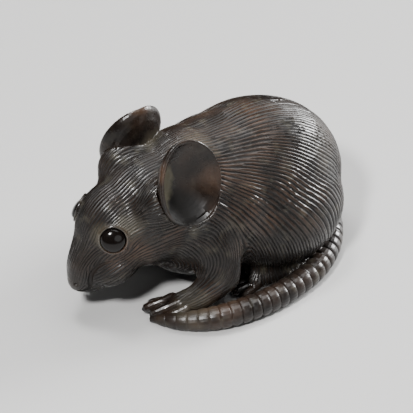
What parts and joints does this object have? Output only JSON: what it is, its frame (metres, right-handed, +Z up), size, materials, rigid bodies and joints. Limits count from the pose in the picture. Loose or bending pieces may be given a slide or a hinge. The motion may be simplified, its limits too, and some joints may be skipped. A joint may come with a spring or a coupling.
{
  "type": "netsuke",
  "caption": "Carved dark wood toggle in the form of a crouching mouse with large cupped ears, its ringed tail laid along one flank, inlaid eyes, and a cord tunnel in its flat underside.",
  "frame": {"origin": "on the supporting plane, under the middle of the carving's outline seen from above", "axes": "-Y towards the mouse's nose, +X towards its left flank, where the tail lies, +Z up"},
  "size_m": [0.0302, 0.046, 0.0287],
  "materials": {
    "carved_wood": "near-black, hand-rubbed semi-gloss, browner where it is worn",
    "horn_inlay": "polished black horn"
  },
  "bodies": {
    "root": {"mouse": "carved_wood", "eye_left": "horn_inlay", "eye_right": "horn_inlay"}
  },
  "joints": []
}
